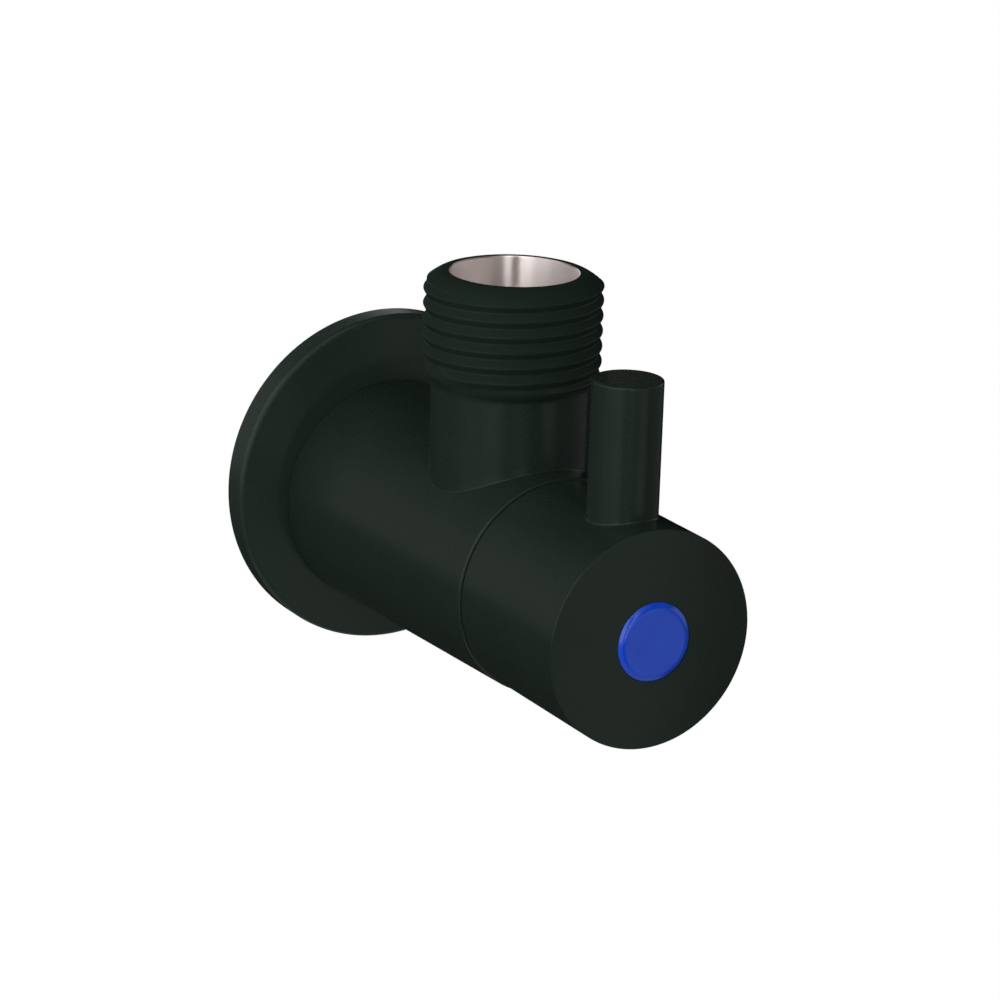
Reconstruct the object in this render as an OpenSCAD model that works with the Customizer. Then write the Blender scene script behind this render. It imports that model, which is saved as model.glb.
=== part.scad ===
// Angle shut-off valve with a quarter-turn ceramic cartridge.
// Millimetres, +Z up. The origin is on the valve axis in the plane of the wall.
// The valve stands out from the wall towards -Y, its outlet points up along +Z,
// and its inlet spigot enters the wall towards +Y.
// A "distance from the wall" is measured along the valve axis, towards the room.

/* [Pipe threads] */
// Major diameter of the G1/2 pipe thread on the inlet and the outlet
pipe_thread_d = 20.955; // [20.4:0.005:21.4]

/* [Barrel] */
// Diameter of the barrel where it meets the wall rosette
barrel_rear_d = 28; // [27.8:0.1:31]
// Diameter of the barrel at the seam to the handle
barrel_front_d = 26; // [25:0.1:27.5]
// Distance from the wall to the rear face of the barrel
barrel_rear = 4; // [3.8:0.1:6]
// Distance from the outlet's axis to the front face of the barrel
outlet_to_front = 12.4; // [11.8:0.1:16]

/* [Inlet] */
// Distance from the wall at which the spigot's full thread begins
spigot_thread_at = 0.5; // [0.2:0.1:1]
// Diameter of the spigot's undercut between the thread and the barrel
spigot_undercut_d = 18.4; // [17.6:0.1:19]
// Length of the inlet spigot behind the plane of the wall
spigot_len = 12; // [10:0.5:20]
// Bore of the inlet spigot
inlet_bore_d = 13; // [12.6:0.1:14]
// Diameter of the recess that holds the strainer's collar
strainer_seat_d = 15; // [14.6:0.1:16]
// Depth of that recess
strainer_seat_depth = 2; // [1.5:0.1:3]

/* [Outlet] */
// Distance from the wall to the outlet's axis
outlet_from_wall = 33.6; // [32:0.1:40]
// Height of the outlet's rim over the valve axis
outlet_height = 34.6; // [32:0.1:40]
// Diameter of the plain neck under the outlet thread
neck_d = 18.5; // [18:0.1:20]
// Length of the outlet thread
outlet_thread_len = 12.4; // [10:0.1:14]
// Bore of the outlet
outlet_bore_d = 15; // [14:0.1:15.6]
// Depth of the outlet's bore, down to the narrower port
outlet_bore_depth = 13; // [10:0.5:16]
// Diameter of the port between the cartridge chamber and the outlet
port_d = 10; // [8:0.1:11]
// Height of the chamfer at the outlet's rim
rim_chamfer = 2.2; // [1:0.1:3]
// Width of the flat lip round the outlet's bore
rim_lip = 0.6; // [0.4:0.1:1]

/* [Wall rosette] */
// Outer diameter of the rosette
rosette_d = 41.6; // [40:0.1:50]
// Thickness of the pressed sheet
rosette_sheet = 1; // [0.8:0.1:1.4]
// Height of the rosette's rim over the wall
rosette_rim = 3.3; // [2.8:0.1:3.5]
// Diameter of the flat land that the barrel presses on
rosette_land_d = 31.6; // [31:0.1:36]
// Radius of the rosette's rounded rim
rosette_rim_round = 0.7; // [0.3:0.1:1]
// Radial play of the loose rosette on the spigot
rosette_play = 1.8; // [1:0.1:1.9]
// Direction in which the loose rosette has settled, from +X towards +Z
rosette_lean = 62; // [0:1:180]

/* [Cartridge] */
// Distance from the seat of the cartridge to the outlet's axis
seat_to_outlet = 13.6; // [13:0.1:16]
// Diameter of the waterway through the seat
seat_bore_d = 11; // [9:0.1:12]
// Thickness of the wall that the seat is cut in
seat_wall = 2; // [1.5:0.1:3]
// Length of the cone that gathers the water to the seat
seat_cone = 1; // [0.6:0.1:1.6]
// Diameter of the chamber round the cartridge
chamber_d = 19.2; // [19:0.1:19.8]
// Major diameter of the cartridge's screw thread
housing_thread_d = 20; // [19.9:0.1:20.5]
// Length of the cartridge's screw thread
housing_thread_len = 6.1; // [5:0.1:6.5]
// Outer diameter of the housing's windowed skirt
skirt_d = 17.4; // [17:0.1:18]
// Bore of the skirt, which holds the discs
disc_bore_d = 14.6; // [14:0.1:15.4]
// Thickness of the rubber seal under the fixed disc
seal_t = 2.2; // [1.8:0.1:3]
// How far the seal stands out of the skirt
seal_proud = 0.6; // [0.4:0.1:0.8]
// Thickness of the fixed ceramic disc
fixed_disc_t = 2.7; // [2.2:0.1:3.2]
// Thickness of the moving ceramic disc
moving_disc_t = 2.5; // [2:0.1:3]
// Width of one waterway sector through the discs, in degrees
sector_angle = 80; // [70:1:84]
// Inner radius of the waterway sectors
sector_inner_r = 2.8; // [2.6:0.1:3.2]
// Outer radius of the waterway sectors
sector_outer_r = 5.7; // [5:0.1:6.2]
// Width of the two lugs that key the fixed disc
key_w = 3; // [2:0.1:4]
// Width of the spindle's drive bar
bar_w = 5; // [4:0.1:6]
// Height of the drive bar
bar_h = 3.2; // [2.6:0.1:4]
// Width of the tongue that drives the moving disc
tongue_w = 3; // [2:0.1:3.4]
// Depth of the tongue in the moving disc
tongue_h = 1; // [0.6:0.1:1.4]
// Diameter of the spindle's thrust collar
thrust_collar_d = 13.8; // [12:0.1:14]
// Thickness of the thrust collar
thrust_collar_t = 1.8; // [1.2:0.1:2.4]
// Thickness of the plastic thrust washer
thrust_washer_t = 0.8; // [0.5:0.1:1.2]
// Height of the windows in the skirt
window_h = 4.6; // [4:0.1:5]
// Width of one window in the skirt, in degrees
window_angle = 130; // [100:1:134]
// Radial depth of the stops that end the quarter turn
stop_depth = 1.9; // [1.2:0.1:2.2]
// Diameter of the flange that seats on the barrel's front face
housing_flange_d = 20.8; // [20.4:0.1:21.4]
// Thickness of that flange
housing_flange_t = 1.6; // [1:0.1:2.4]
// Width across the flats of the hexagon
hex_flats = 17; // [15:0.1:17.6]
// Height of the hexagon
hex_h = 4; // [3:0.1:6]
// Diameter of the housing's top neck
housing_neck_d = 12.6; // [11:0.1:13]
// Height of the housing's top neck
housing_neck_h = 2; // [1:0.1:3]
// Thickness of the sealing ring between the housing and the barrel
gasket_t = 0.8; // [0.5:0.1:1.2]
// Radial width of that sealing ring
gasket_w = 0.8; // [0.6:0.1:0.9]

/* [Spindle] */
// Diameter of the spindle's shaft
spindle_d = 8; // [7.6:0.1:8.6]
// Section diameter of the spindle's sealing rings
ring_section = 1.3; // [1:0.1:1.5]
// Distance from the thrust shoulder to the middle of the inner sealing ring
inner_ring_at = 3.4; // [2.5:0.1:5]
// Distance between the two sealing rings
ring_pitch = 5.6; // [4:0.1:8]
// Thickness of the spindle's retaining clip
clip_t = 0.7; // [0.5:0.1:0.8]
// Outer diameter of the retaining clip
clip_d = 10.8; // [10:0.1:11.4]
// Depth of the retaining clip's groove
clip_groove = 0.7; // [0.4:0.1:0.9]
// Number of teeth on the spindle's spline
spline_teeth = 20; // [16:1:24]
// Height of the spline's teeth
spline_tooth_h = 0.5; // [0.3:0.05:0.6]
// Length of the spline
spline_len = 5.6; // [4:0.1:8]
// Major diameter of the handle screw
screw_d = 4; // [3:0.1:4.2]
// Length of the handle screw under its head
screw_len = 11; // [8:0.5:13]

/* [Handle] */
// Outer diameter of the handle
handle_d = 25.6; // [25:0.1:28]
// Length of the handle's cylinder
handle_len = 20.2; // [19.6:0.1:24]
// Gap at the seam between the barrel and the handle
seam_gap = 0.4; // [0.3:0.05:0.8]
// Wall of the handle round the cartridge's hexagon
handle_wall = 1.7; // [1.2:0.1:1.8]
// Rise of the handle's domed front
dome_rise = 0.8; // [0.4:0.1:2]
// Radius of the soft shoulder round the front
shoulder_round = 0.5; // [0.2:0.1:1]
// Chamfer on the handle's rear edge
rear_chamfer = 0.35; // [0.1:0.05:0.6]
// Outer diameter of the splined insert
insert_d = 13; // [11.6:0.1:14]
// Thickness of the web that the handle screw clamps
web_t = 1.5; // [1.2:0.1:2.2]
// Free height of the handle's cavity over the cartridge's neck
cavity_gap = 0.4; // [0.3:0.1:0.5]

/* [Lever] */
// Diameter of the lever pin
lever_d = 8; // [6:0.1:10]
// Height of the lever's top over the valve axis
lever_top = 28.3; // [22:0.1:40]
// Height of the spot face that the lever stands on
lever_seat = 12; // [11.8:0.1:12.2]
// Distance from the lever's axis back from the handle's front shoulder
lever_setback = 7.1; // [6.6:0.1:7.8]
// Rounding of the lever's edges
lever_round = 0.4; // [0.2:0.05:1]
// Major diameter of the stud that holds the lever
stud_d = 5; // [3:0.1:5.4]
// Length of the stud inside the lever
stud_in_lever = 6; // [4:0.5:8]
// Metal left between the stud's hole and the splined insert
stud_floor_t = 0.7; // [0.5:0.1:1]
// Width across the flats of the hexagon socket in the stud
stud_socket_flats = 2.5; // [2:0.5:3]
// Depth of that socket
stud_socket_depth = 2; // [1:0.5:3]

/* [Handle screw and index cap] */
// Diameter of the screw's head
screw_head_d = 7; // [6:0.1:7.2]
// Height of the screw's head
screw_head_h = 2.5; // [1.6:0.1:2.6]
// Width across the flats of the hexagon socket in the screw's head
socket_flats = 3; // [2:0.5:3.5]
// Thickness of the spring washer under the head
screw_washer_t = 0.8; // [0.5:0.1:1]
// Width of the split in the spring washer
washer_split = 0.8; // [0.4:0.1:1.2]
// Diameter of the coloured index cap
cap_d = 9; // [8.6:0.1:10]
// Height of the cap over the edge of its well
cap_proud = 0.5; // [0.3:0.1:1]
// Chamfer round the cap's face
cap_chamfer = 0.4; // [0.1:0.05:0.6]
// Thickness of the cap's disc
cap_t = 1.5; // [1:0.1:1.8]
// Thickness of the cap's snap legs
cap_leg_t = 0.6; // [0.4:0.05:0.7]
// Width of the slots between the legs
cap_slot_w = 1; // [0.6:0.1:1.6]

/* [Strainer] */
// Diameter of the strainer's mesh tube
strainer_d = 11.2; // [11:0.1:11.6]
// Thickness of the mesh tube
mesh_t = 0.3; // [0.2:0.05:0.5]
// Length of the strainer behind its collar
strainer_len = 14; // [8:0.5:18]
// Number of ribs along the strainer
strainer_ribs = 6; // [4:1:8]
// Width of one rib
rib_w = 1.2; // [0.8:0.1:1.6]
// Thickness of the cage's end and of the hoops at both ends of its openings
cage_end_t = 1; // [0.6:0.1:1.6]

/* [Clearances] */
// Radial clearance of a part that turns in its bore
running_gap = 0.05; // [0.03:0.01:0.09]
// Radial clearance of a part that is fitted and stays
fitted_gap = 0.05; // [0.03:0.01:0.1]
// Free gap between parts that move past each other
free_gap = 0.3; // [0.2:0.05:0.4]

/* [Hidden] */
$fn = 96;
edge = 0.3;                  // small machined edge break
past = 1;                    // how far a cutter runs past the face it opens
thread_r = pipe_thread_d / 2;

// Stations along the valve axis, as distances from the wall
barrel_front = outlet_from_wall + outlet_to_front;
seat = outlet_from_wall - seat_to_outlet;
fixed_at = seat + seal_t;
moving_at = fixed_at + fixed_disc_t;
bar_at = moving_at + moving_disc_t;
collar_at = bar_at + bar_h;
washer_at = collar_at + thrust_collar_t;
thrust_shoulder = washer_at + thrust_washer_t;
hex_at = barrel_front + housing_flange_t;
neck_at = hex_at + hex_h;
housing_top = neck_at + housing_neck_h;
spline_at = housing_top + clip_t + 2 * edge;
spindle_end = spline_at + spline_len;
web_at = spindle_end + free_gap;
screw_washer_at = web_at + web_t;
screw_head_at = screw_washer_at + screw_washer_t;
handle_rear = barrel_front + seam_gap;
handle_front = handle_rear + handle_len;
lever_at = handle_front - lever_setback;

// Radii that follow from the pieces they fit
shaft_r = spindle_d / 2;
shaft_bore_r = shaft_r + running_gap;
disc_r = disc_bore_d / 2 - running_gap;
well_r = cap_d / 2 + 3 * fitted_gap;
dome_r = handle_d / 2 - shoulder_round;
rosette_hole_r = thread_r + rosette_play;
rosette_shift = rosette_play - free_gap;
stud_bottom = insert_d / 2 + stud_floor_t;
skirt_end = seat + seal_proud;
outlet_thread_at = outlet_height - outlet_thread_len;

// Height of the domed front at a radius, over the handle's shoulder
function dome_at(r) = dome_rise * (1 - pow(r / dome_r, 2));

// Points of an arc about (cx, cy) from one angle to another
function arc(cx, cy, r, from, to, steps = 8) =
    [for (i = [0 : steps]) let (a = from + (to - from) * i / steps) [cx + r * cos(a), cy + r * sin(a)]];

// Outline of a spline with pointed teeth between two radii
function spline_outline(minor_r, major_r, teeth) =
    [for (i = [0 : teeth - 1], k = [0 : 3])
        let (a = (i + [0, 0.3, 0.5, 0.8][k]) * 360 / teeth, r = k < 2 ? major_r : minor_r)
        [r * cos(a), r * sin(a)]];

// Outline of a ring sector centred on an angle
function sector_outline(inner_r, outer_r, middle, width) =
    concat(arc(0, 0, outer_r, middle - width / 2, middle + width / 2, 12),
           arc(0, 0, inner_r, middle + width / 2, middle - width / 2, 12));

// Places children on the valve axis: their z runs from the wall into the room,
// x stays x, and y becomes the height
module at_station(station) { translate([0, -station, 0]) rotate([90, 0, 0]) children(); }

// A turned piece from [radius, distance from the wall] points
module turned(points) { at_station(0) rotate_extrude() polygon(points); }

// A plain ring or disc between two stations
module ring(outer_r, inner_r, from, to) {
    turned([[inner_r, from], [outer_r, from], [outer_r, to], [inner_r, to]]);
}

// A round cutter between two stations
module drill(r, from, to) { at_station(from) cylinder(r = r, h = to - from); }

// Places children on the outlet's axis
module at_outlet(height) { translate([0, -outlet_from_wall, height]) children(); }

// Forged and turned body: spigot, tapered barrel and outlet branch, with the waterways cut through
module valve_body() {
    spigot_end = -spigot_len;
    color("#25292a") difference() {
        union() {
            turned([[0, spigot_end], [thread_r - edge * 3, spigot_end], [thread_r, spigot_end + edge * 3],
                    [thread_r, spigot_thread_at], [spigot_undercut_d / 2, spigot_thread_at + edge * 2],
                    [spigot_undercut_d / 2, barrel_rear], [barrel_rear_d / 2 - edge, barrel_rear],
                    [barrel_rear_d / 2, barrel_rear + edge],
                    [barrel_front_d / 2, barrel_front - edge], [barrel_front_d / 2 - edge, barrel_front],
                    [0, barrel_front]]);
            at_outlet(0) rotate_extrude() polygon([
                [0, 0], [neck_d / 2, 0], [neck_d / 2, outlet_thread_at],
                [thread_r, outlet_thread_at + (thread_r - neck_d / 2) * 0.6],
                [thread_r, outlet_height - rim_chamfer],
                [outlet_bore_d / 2 + rim_lip, outlet_height], [0, outlet_height]]);
        }
        // Inlet bore with the strainer's recess at its mouth
        drill(inlet_bore_d / 2, spigot_end - past, seat - seat_wall - seat_cone);
        drill(strainer_seat_d / 2, spigot_end - past, spigot_end + strainer_seat_depth);
        // Cone that gathers the water to the seat
        at_station(seat - seat_wall - seat_cone)
            cylinder(r1 = inlet_bore_d / 2, r2 = seat_bore_d / 2, h = seat_cone);
        drill(seat_bore_d / 2, seat - seat_wall, seat + past);
        // Chamber, tapped mouth and the recess of the sealing ring
        drill(chamber_d / 2, seat, barrel_front + past);
        drill(housing_thread_d / 2 + fitted_gap, barrel_front - housing_thread_len - free_gap, barrel_front + past);
        drill(housing_thread_d / 2 + gasket_w + fitted_gap, barrel_front - gasket_t, barrel_front + past);
        // Port and bore of the outlet
        at_outlet(0) cylinder(d = port_d, h = outlet_height);
        at_outlet(outlet_height - outlet_bore_depth) cylinder(d = outlet_bore_d, h = outlet_bore_depth + past);
    }
}

// Pressed sheet cup that covers the hole in the wall. It is loose on the spigot and has settled off centre
module wall_rosette() {
    rim_r = rosette_d / 2;
    land_r = rosette_land_d / 2;
    inner_rim_r = rim_r - rosette_sheet;
    color("#22282a")
    translate([rosette_shift * cos(rosette_lean), 0, rosette_shift * sin(rosette_lean)])
    turned(concat(
        [[rosette_hole_r, barrel_rear], [land_r, barrel_rear]],
        arc(rim_r - rosette_rim_round, rosette_rim - rosette_rim_round, rosette_rim_round, 80, 0, 6),
        [[rim_r, 0], [inner_rim_r, 0], [inner_rim_r, rosette_rim - rosette_sheet - rosette_rim_round / 2],
         [inner_rim_r - rosette_rim_round / 2, rosette_rim - rosette_sheet],
         [land_r, barrel_rear - rosette_sheet], [rosette_hole_r, barrel_rear - rosette_sheet]]));
}

// Moulded cage of the inlet strainer: collar, ribs and closed end
module strainer_frame() {
    mouth = -spigot_len;
    collar_end = mouth + strainer_seat_depth;
    cage_end = collar_end + strainer_len;
    rib_outer_r = inlet_bore_d / 2 - 2 * fitted_gap;
    rib_inner_r = strainer_d / 2 + fitted_gap;
    color("#d9dbd6") difference() {
        union() {
            ring(strainer_seat_d / 2 - fitted_gap, strainer_d / 2 - mesh_t, mouth, collar_end);
            ring(rib_outer_r, rib_inner_r, collar_end, cage_end);
            drill(rib_outer_r, cage_end, cage_end + cage_end_t);
        }
        // The cage's openings between the ribs
        for (i = [0 : strainer_ribs - 1])
            at_station(collar_end + cage_end_t) linear_extrude(strainer_len - 2 * cage_end_t) polygon(
                sector_outline(rib_inner_r / 2, rib_outer_r + past, (i + 0.5) * 360 / strainer_ribs,
                               360 / strainer_ribs - rib_w / rib_outer_r * 180 / PI));
    }
}

// Woven steel mesh, rolled to a tube inside the cage
module strainer_mesh() {
    collar_end = -spigot_len + strainer_seat_depth;
    color("#b9bcbd") ring(strainer_d / 2, strainer_d / 2 - mesh_t, collar_end, collar_end + strainer_len);
}

// Rubber ring that seals the fixed disc to the seat
module seat_seal() {
    color("#1b1b1b") ring(disc_r - fitted_gap, sector_outer_r + free_gap, seat, fixed_at);
}

// A ceramic disc with two opposite waterway sectors
module ceramic_disc(from, thickness) {
    difference() {
        drill(disc_r, from, from + thickness);
        for (middle = [0, 180])
            at_station(from - past) linear_extrude(thickness + 2 * past)
                polygon(sector_outline(sector_inner_r, sector_outer_r, middle, sector_angle));
    }
}

// Lugs that key the fixed disc into the housing's skirt
module disc_keys(gap) {
    for (side = [-1, 1])
        at_station(skirt_end + gap) translate([-key_w / 2 - gap, side > 0 ? disc_r - 1 : -skirt_d / 2, 0])
            cube([key_w + 2 * gap, skirt_d / 2 - disc_r + 1, moving_at - skirt_end - gap]);
}

// Fixed ceramic disc, held against turning by its two lugs
module fixed_disc() {
    color("#f1eee6") union() {
        ceramic_disc(fixed_at, fixed_disc_t);
        intersection() {
            disc_keys(0);
            ring(skirt_d / 2 - fitted_gap, disc_r - past, fixed_at, moving_at);
        }
    }
}

// Moving ceramic disc, with the slot that the spindle's tongue drives
module moving_disc() {
    color("#f7f5ef") difference() {
        ceramic_disc(moving_at, moving_disc_t);
        at_station(bar_at - tongue_h - fitted_gap)
            translate([-tongue_w / 2 - fitted_gap, -disc_r - past, 0])
                cube([tongue_w + 2 * fitted_gap, 2 * (disc_r + past), tongue_h + past]);
    }
}

// Brass cartridge housing: windowed skirt with stops, screw thread, flange, hexagon and neck
module cartridge_housing() {
    disc_bore_r = disc_bore_d / 2;
    window_at = bar_at + fitted_gap;
    stop_gap = bar_w / 2 + running_gap;
    color("#c9a34e") difference() {
        union() {
            difference() {
                union() {
                    drill(skirt_d / 2, skirt_end, thrust_shoulder);
                    turned([[0, thrust_shoulder], [skirt_d / 2, thrust_shoulder],
                            [skirt_d / 2, barrel_front - housing_thread_len],
                            [housing_thread_d / 2, barrel_front - housing_thread_len + edge * 2],
                            [housing_thread_d / 2, barrel_front],
                            [housing_flange_d / 2, barrel_front], [housing_flange_d / 2, hex_at - edge],
                            [housing_flange_d / 2 - edge, hex_at], [housing_neck_d / 2, hex_at],
                            [housing_neck_d / 2, housing_top - edge], [housing_neck_d / 2 - edge, housing_top],
                            [0, housing_top]]);
                    at_station(hex_at) cylinder(d = hex_flats / cos(30), h = hex_h, $fn = 6);
                }
                drill(disc_bore_r, skirt_end - past, thrust_shoulder);
                // Windows that let the water out to the chamber
                for (middle = [45, 225])
                    at_station(window_at) linear_extrude(window_h)
                        polygon(sector_outline(disc_bore_r - past, skirt_d / 2 + past, middle, window_angle));
            }
            // Stops for the drive bar, on the two pillars between the windows
            for (turn = [0, 180])
                at_station(window_at) rotate([0, 0, turn]) linear_extrude(bar_h - free_gap) intersection() {
                    difference() {
                        circle(r = (disc_bore_r + skirt_d / 2) / 2);
                        circle(r = disc_bore_r - stop_depth);
                    }
                    translate([-skirt_d - stop_gap, stop_gap]) square(skirt_d);
                    polygon(sector_outline(past, skirt_d, 135, 360 / 2 - window_angle));
                }
        }
        drill(shaft_bore_r, thrust_shoulder - past, housing_top + past);
        // Notches for the lugs of the fixed disc
        disc_keys(fitted_gap);
        drill(disc_bore_r, skirt_end - past, bar_at + fitted_gap);
    }
}

// Fibre ring that seals the housing's flange to the barrel
module housing_gasket() {
    thread = housing_thread_d / 2;
    color("#8d3b2a") ring(thread + gasket_w, thread + fitted_gap, barrel_front - gasket_t, barrel_front);
}

// Stations of the spindle's two sealing rings
function ring_at(index) = thrust_shoulder + inner_ring_at + index * ring_pitch;

// Brass spindle: drive bar with its tongue, thrust collar, grooved shaft, spline and tapped end
module spindle() {
    groove_r = shaft_r - ring_section - running_gap;
    groove_w = ring_section + 2 * running_gap;
    spline_major = shaft_r - edge / 2;
    bar_r = disc_bore_d / 2 - free_gap;
    color("#d3b25e") difference() {
        union() {
            // Bar and tongue, cut from a round blank
            intersection() {
                drill(bar_r, bar_at - tongue_h, collar_at);
                union() {
                    at_station(bar_at) translate([-bar_w / 2, -bar_r, 0]) cube([bar_w, 2 * bar_r, bar_h]);
                    at_station(bar_at - tongue_h) translate([-tongue_w / 2, -bar_r, 0])
                        cube([tongue_w, 2 * bar_r, tongue_h]);
                }
            }
            turned([[0, collar_at], [thrust_collar_d / 2, collar_at], [thrust_collar_d / 2, washer_at],
                    [shaft_r, washer_at], [shaft_r, ring_at(0) - groove_w / 2],
                    [groove_r, ring_at(0) - groove_w / 2], [groove_r, ring_at(0) + groove_w / 2],
                    [shaft_r, ring_at(0) + groove_w / 2], [shaft_r, ring_at(1) - groove_w / 2],
                    [groove_r, ring_at(1) - groove_w / 2], [groove_r, ring_at(1) + groove_w / 2],
                    [shaft_r, ring_at(1) + groove_w / 2], [shaft_r, housing_top],
                    [shaft_r - clip_groove, housing_top], [shaft_r - clip_groove, housing_top + clip_t],
                    [spline_major - spline_tooth_h, housing_top + clip_t],
                    [spline_major - spline_tooth_h, spindle_end], [0, spindle_end]]);
            at_station(spline_at) linear_extrude(spline_len)
                polygon(spline_outline(spline_major - spline_tooth_h, spline_major, spline_teeth));
        }
        drill(screw_d / 2 + fitted_gap, screw_head_at - screw_len - past, spindle_end + past);
    }
}

// Rubber sealing ring in one of the spindle's grooves
module spindle_ring(index) {
    color("#202020") at_station(ring_at(index)) rotate_extrude()
        translate([shaft_r - ring_section / 2 - running_gap / 2, 0]) circle(d = ring_section, $fn = 32);
}
module inner_spindle_ring() { spindle_ring(0); }
module outer_spindle_ring() { spindle_ring(1); }

// Slippery plastic washer between the thrust collar and the housing
module thrust_washer() {
    color("#e9e6da") ring(disc_bore_d / 2 - fitted_gap, shaft_r + free_gap, washer_at, thrust_shoulder);
}

// Open spring clip in the spindle's groove, resting on the housing's neck
module spindle_clip() {
    color("#9a9d9f") difference() {
        ring(clip_d / 2, shaft_r - clip_groove + fitted_gap, housing_top, housing_top + clip_t);
        at_station(housing_top - past) translate([-clip_d / 4, 0, 0]) cube([clip_d / 2, clip_d, clip_t + 2 * past]);
    }
}

// Moulded insert that carries the spline inside the handle
module spline_insert() {
    major = shaft_r - edge / 2 + fitted_gap;
    color("#ece9df") difference() {
        ring(insert_d / 2 - fitted_gap, shaft_r / 2, spline_at, web_at);
        at_station(spline_at - past) linear_extrude(web_at - spline_at + 2 * past)
            polygon(spline_outline(major - spline_tooth_h, major, spline_teeth));
    }
}

// Cast handle: open rear cavity, solid front with the lever's spot face, web and cap well
module handle_shell() {
    outer_r = handle_d / 2;
    cavity_r = outer_r - handle_wall;
    cavity_end = housing_top + cavity_gap;
    color("#2a2c2c") difference() {
        turned(concat(
            [[0, handle_rear], [outer_r - rear_chamfer, handle_rear], [outer_r, handle_rear + rear_chamfer]],
            arc(outer_r - shoulder_round, handle_front - shoulder_round, shoulder_round, 0, 80, 6),
            [for (i = [0 : 10]) let (r = dome_r * (1 - i / 10)) [r, handle_front + dome_at(r)]]));
        drill(cavity_r, handle_rear - past, cavity_end);
        drill(insert_d / 2, cavity_end - past, web_at);
        drill(screw_d / 2 + free_gap, web_at - past, screw_washer_at + past);
        drill(well_r, screw_washer_at, handle_front + dome_rise + past);
        // Spot face and tapped hole of the lever
        translate([0, -lever_at, lever_seat]) cylinder(d = lever_d + free_gap, h = outer_r);
        translate([0, -lever_at, stud_bottom]) cylinder(d = stud_d + 2 * fitted_gap, h = outer_r);
    }
}

// Turned lever pin with softly rounded ends
module lever_pin() {
    lever_r = lever_d / 2;
    length = lever_top - lever_seat;
    color("#2b2d2d") translate([0, -lever_at, lever_seat]) difference() {
        rotate_extrude() polygon(concat([[0, 0]],
            arc(lever_r - lever_round, lever_round, lever_round, -90, 0, 5),
            arc(lever_r - lever_round, length - lever_round, lever_round, 0, 90, 5), [[0, length]]));
        translate([0, 0, -past]) cylinder(d = stud_d + 2 * fitted_gap, h = stud_in_lever + past);
    }
}

// Headless stud that joins the lever to the handle
module lever_stud() {
    color("#8f9294") translate([0, -lever_at, stud_bottom]) difference() {
        cylinder(d = stud_d, h = lever_seat + stud_in_lever - stud_bottom);
        translate([0, 0, -past])
            cylinder(d = stud_socket_flats / cos(30), h = stud_socket_depth + past, $fn = 6);
    }
}

// Socket-head screw that clamps the handle to the spindle
module handle_screw() {
    socket_depth = screw_head_h * 0.6;
    color("#a9abac") difference() {
        union() {
            drill(screw_d / 2, screw_head_at - screw_len, screw_head_at + past / 2);
            turned([[0, screw_head_at], [screw_head_d / 2, screw_head_at],
                    [screw_head_d / 2, screw_head_at + screw_head_h - edge],
                    [screw_head_d / 2 - edge, screw_head_at + screw_head_h], [0, screw_head_at + screw_head_h]]);
        }
        at_station(screw_head_at + screw_head_h - socket_depth)
            cylinder(d = socket_flats / cos(30), h = socket_depth + past, $fn = 6);
    }
}

// Split spring washer under the screw's head
module screw_washer() {
    color("#a9abac") difference() {
        ring(screw_head_d / 2, screw_d / 2 + fitted_gap, screw_washer_at, screw_head_at);
        at_station(screw_washer_at - past) translate([0, -washer_split / 2, 0])
            cube([screw_head_d, washer_split, screw_washer_t + 2 * past]);
    }
}

// Index cap that snaps into the handle's well over the screw
module index_cap() {
    face = handle_front + dome_at(well_r) + cap_proud;
    disc_at = face - cap_t;
    leg_r = cap_d / 2;
    color("#1f3da2") difference() {
        turned([[0, disc_at], [leg_r - cap_leg_t, disc_at], [leg_r - cap_leg_t, screw_head_at],
                [leg_r, screw_head_at], [leg_r, face - cap_chamfer],
                [leg_r - cap_chamfer, face], [0, face]]);
        // Slots that part the skirt into four springy legs
        for (turn = [0, 90])
            at_station(screw_head_at - past) rotate([0, 0, turn]) translate([-cap_d, -cap_slot_w / 2, 0])
                cube([2 * cap_d, cap_slot_w, disc_at - screw_head_at + past]);
    }
}

valve_body();
wall_rosette();
strainer_frame();
strainer_mesh();
seat_seal();
fixed_disc();
moving_disc();
cartridge_housing();
housing_gasket();
spindle();
inner_spindle_ring();
outer_spindle_ring();
thrust_washer();
spindle_clip();
spline_insert();
handle_shell();
lever_pin();
lever_stud();
handle_screw();
screw_washer();
index_cap();
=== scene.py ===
"""Angle shut-off valve with a quarter-turn ceramic cartridge, dressed and lit.

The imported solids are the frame. The five outer pieces and the strainer's mesh are
worked out here as fine surfaces over them, and the pieces inside keep their solids and
get their finishes. Sizes are millimetres; a "station" is a distance from the wall along
the valve axis, which is -Y. The outlet stands up along +Z.
"""

import logging
import math
from collections.abc import Callable, Mapping, Sequence
from dataclasses import dataclass, field
from enum import Enum

import bmesh
import bpy
import numpy as np
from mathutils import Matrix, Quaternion, Vector


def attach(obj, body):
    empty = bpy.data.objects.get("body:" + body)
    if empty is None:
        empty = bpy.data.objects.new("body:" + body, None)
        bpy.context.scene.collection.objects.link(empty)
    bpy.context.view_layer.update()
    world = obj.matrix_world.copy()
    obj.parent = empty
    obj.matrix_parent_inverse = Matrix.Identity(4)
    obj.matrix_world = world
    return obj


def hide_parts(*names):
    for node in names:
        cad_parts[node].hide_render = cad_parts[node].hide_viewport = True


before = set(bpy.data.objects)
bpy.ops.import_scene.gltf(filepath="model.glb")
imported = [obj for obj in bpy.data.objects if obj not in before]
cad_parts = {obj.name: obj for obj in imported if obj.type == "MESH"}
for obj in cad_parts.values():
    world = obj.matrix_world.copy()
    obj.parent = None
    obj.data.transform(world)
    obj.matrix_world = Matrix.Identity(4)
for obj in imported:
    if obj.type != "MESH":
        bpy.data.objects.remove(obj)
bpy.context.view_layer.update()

MM = 0.001
FULL_TURN = 2 * math.pi
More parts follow.
